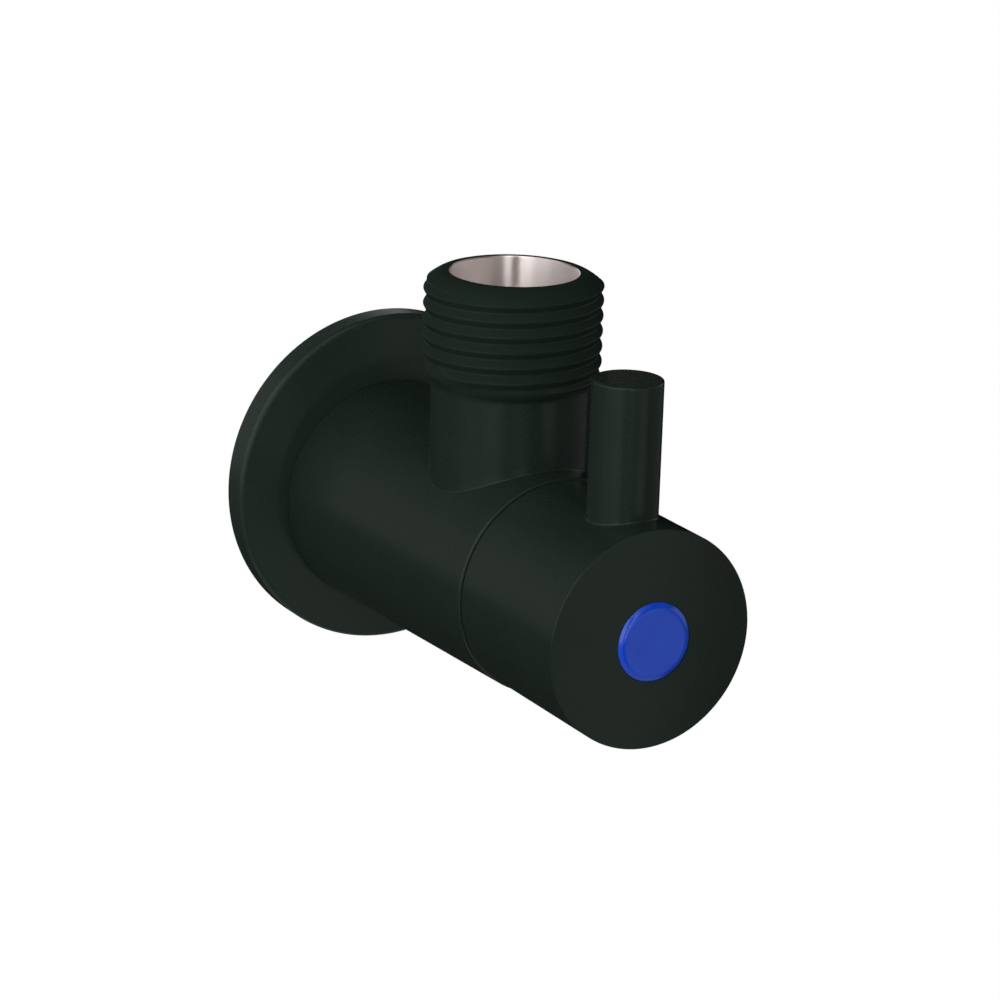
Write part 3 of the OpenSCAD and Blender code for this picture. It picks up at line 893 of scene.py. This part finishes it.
@dataclass
class HandleCup:
    """Cast handle with a domed front, the cap's well and a small fillet round the lever."""

    columns: int = 192
    rear: float = 46.2
    front: float = 66.6
    radius: float = 12.8
    rear_chamfer: float = 0.12
    shoulder: float = 0.12
    dome: float = 0.8
    well_r: float = 4.66
    cavity_r: float = 11.1
    cavity_end: float = 54.0
    insert_r: float = 6.5
    web: Span = (60.8, 62.3)
    screw_r: float = 2.3
    lever_at: float = 59.5
    lever_gap_r: float = 4.11
    fillet_r: float = 4.42
    fillet_rise: float = 0.22
    spot_z: float = 12.0
    spot_edge: float = 0.01
    stud_r: float = 2.55
    stud_floor: float = 7.2
    face_rows: int = 25
    band: Band = Band(53.5, 65.5, 19, 15)

    def dome_at(self, radius: Array) -> Array:
        """Station of the domed front at a radius: a parabola over the shoulder."""
        return self.front + self.dome * (1 - (radius / (self.radius - self.shoulder)) ** 2)

    def face(self) -> Array:
        """Outline of the front: the dome, an arc of the shoulder's size that goes on from
        the dome's slope, and the side.

        Returns:
            Rows of (along, radius).
        """
        edge_r = self.radius - self.shoulder
        face_r = np.linspace(self.well_r, edge_r, self.face_rows)
        dome = np.stack([self.dome_at(face_r), face_r], -1)
        lean = math.atan(2 * self.dome / edge_r)
        turn = np.linspace(math.pi / 2 - lean, 0, 9)[1:]
        station = self.front - self.shoulder * math.cos(lean)
        middle_r = edge_r - self.shoulder * math.sin(lean)
        reach = np.array([self.shoulder, self.radius - middle_r])
        arc = [station, middle_r] + reach * np.stack([np.sin(turn), np.cos(turn)], -1)
        side = [[station - LEAD, self.radius], [self.band.last, self.radius]]
        return np.concatenate([dome, arc, side])

    def foot(self, skin: Skin, angles: Array) -> None:
        """Adds the side round the lever, the fillet, and the spot where the lever stands,
        with the blind hole of its stud.

        Args:
            skin: Where it goes.
            angles: Angles of the columns.
        """
        side = Opening(lambda s: np.full_like(s, self.radius), self.lever_at)
        rim = side.band(skin, angles, self.band)
        heading = side.headings(rim)
        start = side.rim(heading, self.fillet_r)
        skin.sheet(side.collar(start, rim, rows=6))
        inner = side.place(side.rim(heading, self.lever_gap_r))
        crest = inner + [0, 0, self.fillet_rise]
        skin.sheet(bent_strip(side.place(start), inner, crest, rows=5))
        below = inner.copy()
        below[:, 2] = self.spot_z + self.spot_edge
        floor = rounded([
            (self.spot_z, self.lever_gap_r), (self.spot_z, self.stud_r),
            (self.stud_floor, self.stud_r), (self.stud_floor, 0),
        ])
        spot = Lathe(Line.UPRIGHT, other=self.lever_at).turn(floor, heading)
        skin.sheet(np.stack([crest, below]))
        skin.sheet(np.stack([below, spot[0]]))
        skin.sheet(spot)

    def build(self) -> None:
        """Makes the handle from its side through the rear and the cavity to the cap's well,
        then its front and the lever's foot."""
        skin, angles, web = Skin(), turns(self.columns), self.web
        inside = rounded([
            (self.band.first, self.radius), (self.rear + self.rear_chamfer, self.radius),
            (self.rear, self.radius - self.rear_chamfer), (self.rear, self.cavity_r),
            (self.cavity_end, self.cavity_r), (self.cavity_end, self.insert_r),
            (web[0], self.insert_r), (web[0], self.screw_r),
            (web[1], self.screw_r), (web[1], self.well_r),
            (self.dome_at(self.well_r), self.well_r),
        ])
        skin.sheet(VALVE_LINE.turn(inside, angles))
        skin.sheet(VALVE_LINE.turn(self.face(), angles))
        self.foot(skin, angles)
        piece(skin, "handle_cup", [BLACK_COAT], "handle", "handle_shell")


@dataclass
class Lever:
    """Turned lever pin on its stud."""

    columns: int = 128
    station: float = 59.5
    foot: float = 12.0
    top: float = 28.3
    radius: float = 4.07
    rounding: float = 0.25
    stud_r: float = 2.55
    stud_end: float = 18.0

    def build(self) -> None:
        """Turns the pin's outline, with rounded ends and the blind hole of the stud."""
        outline = rounded([
            (self.stud_end, 0), (self.stud_end, self.stud_r), (self.foot, self.stud_r),
            (self.foot, self.radius, self.rounding), (self.top, self.radius, self.rounding),
            (self.top, 0),
        ])
        skin = Skin()
        skin.sheet(Lathe(Line.UPRIGHT, other=self.station).turn(outline, turns(self.columns)))
        piece(skin, "lever", [BLACK_COAT], "handle", "lever_pin")


@dataclass
class IndexButton:
    """Blue cap with a bevelled rim that snaps into the handle's well on four legs."""

    columns_per_leg: int = 30
    face: float = 67.786
    disc: float = 1.5
    radius: float = 4.63
    leg_t: float = 0.6
    leg_end: float = 63.1
    bevel_wide: float = 0.56
    bevel_deep: float = 0.5
    bevel_round: float = 0.8
    rim_round: float = 0.25
    slot: float = 1.0

    def build(self) -> None:
        """Turns the cap's outline. In the columns of the slots the legs have no length, and
        at a slot's two sides one angle has a column of each kind."""
        half = math.asin(self.slot / 2 / self.radius)
        leg = np.linspace(half, math.pi / 2 - half, self.columns_per_leg)
        gap = np.linspace(-half, half, 5)
        quarters = [np.concatenate([gap, leg]) + k * math.pi / 2 for k in range(4)]
        angles = np.concatenate([*quarters, [FULL_TURN - half]])
        has_leg = np.append(np.tile(np.repeat([False, True], [len(gap), len(leg)]), 4), False)
        under = self.face - self.disc
        end = np.where(has_leg, self.leg_end, under)[None, :]
        outer = rounded([
            (self.face, 0), (self.face, self.radius - self.bevel_wide, self.bevel_round),
            (self.face - self.bevel_deep, self.radius, self.rim_round), (under, self.radius),
        ])
        skin = Skin()
        skin.sheet(VALVE_LINE.turn(outer, angles))
        inner_r = self.radius - self.leg_t
        leg_rows = np.concatenate([np.full_like(end, under), end, end, np.full_like(end, under)])
        leg_radii = np.array([self.radius, self.radius, inner_r, inner_r])[:, None]
        skin.sheet(VALVE_LINE.point(angles[None, :], leg_rows, leg_radii))
        skin.sheet(VALVE_LINE.turn(np.array([[under, inner_r], [under, 0.0]]), angles))
        piece(skin, "index_button", [BLUE_ABS], "handle", "index_cap")


@dataclass
class StrainerWeave:
    """Woven wire of the strainer, rolled to a tube: rings and straight wires that pass
    over and under each other."""

    middle_r: float = 5.45
    start: float = -9.9
    end: float = 3.9
    wire: float = 0.075
    rings: int = 18
    straights: int = 42
    sides: int = 6
    past: Span = (0.3, 0.1)

    def tube(
        self, skin: Skin, centre: Array, along: Array, across: Array, capped: bool = False
    ) -> None:
        """Sweeps a round wire along a path.

        Each section is centre + wire (cos b along + sin b across) for b round the wire.

        Args:
            skin: Where the wire goes.
            centre: Points of the path, one in each row.
            along: First direction of the section, one for all points or one in each row.
            across: Second direction of the section, the same way.
            capped: Whether the path's two ends get flat caps.
        """
        b = (FULL_TURN * np.arange(self.sides + 1) / self.sides)[:, None]
        wall = centre + self.wire * (np.cos(b) * along + np.sin(b) * across)
        if capped:
            middle = np.broadcast_to(centre, wall.shape)
            wall = np.concatenate([middle[:1], wall, middle[-1:]])
        skin.sheet(wall)

    def build(self) -> None:
        """Lays the rings, then the straight wires, each waving by one wire about the tube.
        The straight wires stand a little past the outermost rings."""
        skin, axis = Skin(), np.array([0.0, 1.0, 0.0])
        stations, pitch = np.linspace(self.start, self.end, self.rings, retstep=True)
        angle = np.linspace(0, FULL_TURN, 4 * self.straights + 1)[:, None]
        for number, station in enumerate(stations):
            wave = self.wire * (-1) ** number * np.cos(angle * self.straights / 2)
            centre = VALVE_LINE.point(angle, station, self.middle_r + wave)
            self.tube(skin, centre, VALVE_LINE.point(angle, 0.0, 1.0), axis)
        ends = self.start - self.past[0], self.end + self.past[1]
        along = np.linspace(*ends, 4 * self.rings + 1)[:, None]
        for number in range(self.straights):
            turn = FULL_TURN * number / self.straights
            wave = -self.wire * (-1) ** number * np.cos(math.pi * (along - self.start) / pitch)
            centre = VALVE_LINE.point(turn, along, self.middle_r + wave)
            out = VALVE_LINE.point(turn, 0.0, 1.0)
            self.tube(skin, centre, out, np.cross(out, axis), capped=True)
        piece(skin, "strainer_weave", [BRIGHT_STEEL], "body", "strainer_mesh", 60.0)


@dataclass
class InnerParts:
    """The pieces inside, which keep their solids."""

    nodes: Mapping[Finish, Sequence[str]] = field(default_factory=lambda: {
        ACETAL: ("strainer_frame", "thrust_washer", "spline_insert"),
        ALUMINA: ("fixed_disc", "moving_disc"),
        NITRILE: ("seat_seal", "inner_spindle_ring", "outer_spindle_ring"),
        FIBRE: ("housing_gasket",),
        TURNED_BRASS: ("cartridge_housing", "spindle"),
        BRIGHT_STEEL: ("spindle_clip", "lever_stud", "handle_screw", "screw_washer"),
    })

    def build(self) -> None:
        """Gives each of them its finish."""
        for finish, names in self.nodes.items():
            for name in names:
                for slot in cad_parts[name].material_slots:
                    slot.material = finish.material()
                log.info("%s keeps its solid, in %s", name, finish.name)


# ---- studio ----


def towards(side: float, height: float) -> Vector:
    """Unit vector at a compass angle a from the front and a height h, in degrees:
    (sin a cos h, -cos a cos h, sin h)."""
    a, h = math.radians(side), math.radians(height)
    return Vector((math.sin(a) * math.cos(h), -math.cos(a) * math.cos(h), math.sin(h)))


@dataclass(frozen=True)
class SoftBox:
    """A lit panel of the tent round the valve: the compass angle from the camera's side and
    the height at which it hangs, the width and height that it fills seen from the valve,
    all in degrees, how bright its face is, and its distance in metres."""

    name: str
    side: float
    height: float
    wide: float
    high: float
    radiance: float
    distance: float = 1.1

    def build(self, target: Vector, facing: float) -> None:
        """Hangs the panel so that it faces the valve.

        Args:
            target: The point that it faces.
            facing: Compass angle of the camera, in degrees.
        """
        data = bpy.data.lights.new(self.name, "AREA")
        data.shape = "RECTANGLE"
        data.size = 2 * self.distance * math.tan(math.radians(self.wide) / 2)
        data.size_y = 2 * self.distance * math.tan(math.radians(self.high) / 2)
        data.energy = self.radiance * math.pi * data.size * data.size_y
        away = towards(facing + self.side, self.height)
        made = show(self.name, data)
        made.location = target + away * self.distance
        made.rotation_euler = away.to_track_quat("Z", "Y").to_euler()


@dataclass
class Studio:
    """Camera, floor, world, a bowl of black cloth and the tent of soft boxes in it.

    Lengths are millimetres and angles are degrees. The soft boxes stand between the sides,
    which are compass angles from the camera, and between the heights. Each row of radiance
    is one height, from below, and each column one side, from the left.
    """

    facing: float = -29.767
    rise: float = 16.971
    roll: float = 1.87
    distance: float = 462.392
    picture_pixels: float = 1000
    focal_pixels: float = 3905.058
    sensor: float = 36.0
    clip: Span = (20.0, 20000.0)
    target: tuple[float, float, float] = (1.121, -30.0, 5.824)
    floor_z: float = -1000.0
    floor_reach: float = 8000.0
    cloth_z: float = -780.0
    cloth_r: float = 1300.0
    cloth_top: float = 78.0
    sides: tuple[float, ...] = (-180, -135, -100, -72, -36, -9, 6, 19, 40, 68, 150)
    heights: tuple[float, ...] = (-42, -9, 20, 48, 78)
    radiance: tuple[tuple[float, ...], ...] = (
        (0.01, 0.03, 0.00, 0.25, 0.45, 0.00, 0.00, 0.10, 0.67, 0.14),
        (0.68, 0.31, 0.78, 1.61, 2.67, 0.00, 2.80, 0.63, 0.65, 0.72),
        (0.03, 0.18, 1.26, 2.14, 2.94, 0.00, 2.55, 0.20, 0.00, 0.15),
        (0.00, 0.02, 0.00, 0.75, 1.52, 0.00, 1.80, 0.61, 0.35, 0.07),
    )
    below: SoftBox = SoftBox("below", 0, -90, 80, 80, 0.50, 0.7)

    def tent(self) -> list[SoftBox]:
        """Works out the soft boxes. A panel's width seen from the valve is its share of the
        compass times the cosine of its height.

        Returns:
            Panels side by side and above each other, from the table, with a gap where the
            camera stands, and one below.
        """
        boxes = []
        for row, values in enumerate(self.radiance):
            low, high = self.heights[row : row + 2]
            for column, value in enumerate(values):
                left, right = self.sides[column : column + 2]
                height = (low + high) / 2
                wide = (right - left) * math.cos(math.radians(height))
                if value:
                    name = f"box_{row}_{column}"
                    boxes.append(SoftBox(name, (left + right) / 2, height, wide, high - low, value))
        return [*boxes, self.below]

    def camera(self) -> None:
        """Sets the camera at the photograph's angle, for a square picture of 1000 pixels."""
        back = towards(self.facing, self.rise)
        data = bpy.data.cameras.new("camera")
        data.sensor_width = self.sensor
        data.lens = self.focal_pixels / self.picture_pixels * self.sensor
        data.clip_start, data.clip_end = self.clip[0] * MM, self.clip[1] * MM
        made = show("camera", data)
        made.location = (Vector(self.target) + back * self.distance) * MM
        turn = back.to_track_quat("Z", "Y") @ Quaternion((0, 0, 1), math.radians(self.roll))
        made.rotation_euler = turn.to_euler()
        bpy.context.scene.camera = made

    def floor(self) -> None:
        """Lays a plain pale floor well below the valve, which the camera sees as white."""
        paint = bpy.data.materials.new("white_paper_floor")
        tree = cleared(paint)
        matt = add(tree, "BsdfDiffuse", {"Color": linear("E8E8E6")})
        both = add(tree, "AddShader", links={0: matt.outputs[0], 1: self.white(tree, "Emission")})
        add(tree, "OutputMaterial", links={"Surface": both.outputs[0]})
        reach, z = self.floor_reach * MM, self.floor_z * MM
        corners = [(-reach, -reach, z), (reach, -reach, z), (reach, reach, z), (-reach, reach, z)]
        mesh = bpy.data.meshes.new("floor")
        mesh.from_pydata(corners, [], [(0, 1, 2, 3)])
        mesh.materials.append(paint)
        show("floor", mesh)

    def cloth(self) -> None:
        """Hangs a bowl of black cloth behind the soft boxes, open above and out of the
        camera's sight, so that the lacquer mirrors the boxes and not the white ground.

        Its outline runs flat from the middle to the sphere of its radius, then up the
        sphere, where a point at elevation e has the height r sin e and the radius r cos e.
        """
        low = math.degrees(math.asin(self.cloth_z / self.cloth_r))
        rise = np.radians(np.linspace(low, self.cloth_top, 25))
        wall = self.cloth_r * np.stack([np.sin(rise), np.cos(rise)], -1)
        skin = Skin()
        outline = np.concatenate([[[self.cloth_z, 0.0]], wall])
        skin.sheet(Lathe(Line.UPRIGHT).turn(outline, turns(48)))
        mesh = skin.mesh("black_cloth_bowl")
        mesh.materials.append(Finish("black_cloth", "050505", 1.0, specular=0.0).material())
        made = show("black_cloth_bowl", mesh)
        made.visible_camera = False

    def white(self, tree: Tree, kind: str) -> Socket:
        """Adds white light that the camera sees, also in a mirror or through something
        clear, and that lights nothing else.

        Args:
            tree: Node tree of the floor's material or of the world.
            kind: The light's node type.

        Returns:
            The light.
        """
        path = add(tree, "LightPath").outputs
        clear = combine(tree, "MAXIMUM", path["Is Camera Ray"], path["Is Transmission Ray"])
        seen = combine(tree, "MAXIMUM", clear, path["Is Glossy Ray"])
        return add(tree, kind, {"Color": (1, 1, 1, 1)}, {"Strength": seen}).outputs[0]

    def world(self) -> None:
        """A white room that the camera sees and bright metal mirrors."""
        world = bpy.data.worlds.new("studio")
        bpy.context.scene.world = world
        tree = cleared(world)
        add(tree, "OutputWorld", links={"Surface": self.white(tree, "Background")})

    def build(self) -> None:
        """Sets up the studio."""
        self.camera()
        self.floor()
        self.cloth()
        self.world()
        for box in self.tent():
            box.build(Vector(self.target) * MM, self.facing)
        bpy.context.scene.view_settings.view_transform = "Standard"


def main() -> None:
    """Builds the studio and the valve."""
    logging.basicConfig(level=logging.INFO, format="%(name)s: %(message)s")
    Studio().build()
    pieces = (BodyCasting, Rosette, HandleCup, Lever, IndexButton, StrainerWeave, InnerParts)
    for part in pieces:
        part().build()


if __name__ == "__main__":
    main()
